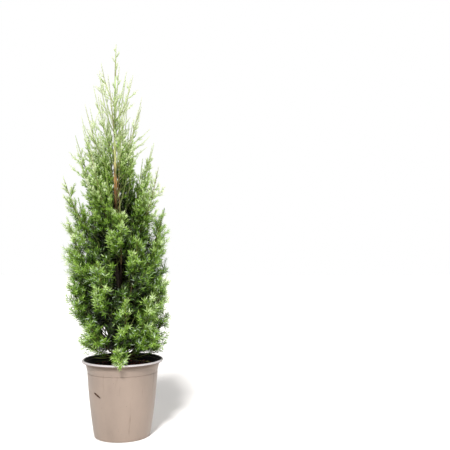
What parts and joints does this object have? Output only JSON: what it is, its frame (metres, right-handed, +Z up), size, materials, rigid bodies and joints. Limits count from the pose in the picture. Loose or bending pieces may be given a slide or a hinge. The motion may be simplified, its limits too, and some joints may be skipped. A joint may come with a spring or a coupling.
{
  "type": "potted chinese juniper",
  "caption": "Young upright chinese juniper with fine yellow-green needles on ascending twigs, growing in a round tapered nursery pot of taupe plastic with a rolled rim.",
  "frame": {"origin": "centre of the pot's flat underside", "axes": "+Z up along the plant, -Y towards the front of the picture's view, +X to the right of that view"},
  "size_m": [0.1743, 0.18, 0.634],
  "materials": {
    "pot": "moulded polypropylene, satin body with a glossier rolled rim",
    "soil": "moist dark peat and bark potting mix",
    "bark": "thin orange-brown bark in fibrous flakes",
    "needles": "fine waxy needles, deep green below and pale yellow-green above"
  },
  "bodies": {
    "root": {"pot": "pot", "soil": "soil", "trunk": "bark", "bough_09": "bark", "bough_10": "bark", "bough_11": "bark", "bough_12": "bark", "bough_13": "bark", "bough_14": "bark", "bough_15": "bark", "bough_16": "bark", "bough_17": "bark", "bough_18": "bark", "bough_19": "bark", "bough_20": "bark", "bough_21": "bark", "bough_22": "bark", "bough_23": "bark", "bough_24": "bark", "bough_25": "bark", "mass_01": "needles", "mass_02": "needles", "mass_03": "needles", "mass_04": "needles", "mass_05": "needles", "mass_06": "needles", "mass_07": "needles", "mass_08": "needles", "mass_09": "needles", "mass_10": "needles", "mass_11": "needles", "mass_12": "needles", "mass_13": "needles", "mass_14": "needles", "mass_15": "needles", "mass_16": "needles", "mass_17": "needles", "mass_18": "needles", "mass_19": "needles", "mass_20": "needles", "mass_21": "needles", "mass_22": "needles", "mass_23": "needles", "mass_24": "needles", "mass_25": "needles", "mass_26": "needles", "mass_27": "needles", "mass_28": "needles", "mass_29": "needles", "mass_30": "needles", "mass_31": "needles", "mass_32": "needles", "mass_33": "needles", "mass_34": "needles", "mass_35": "needles", "mass_36": "needles", "mass_37": "needles", "mass_leader": "needles"}
  },
  "joints": []
}
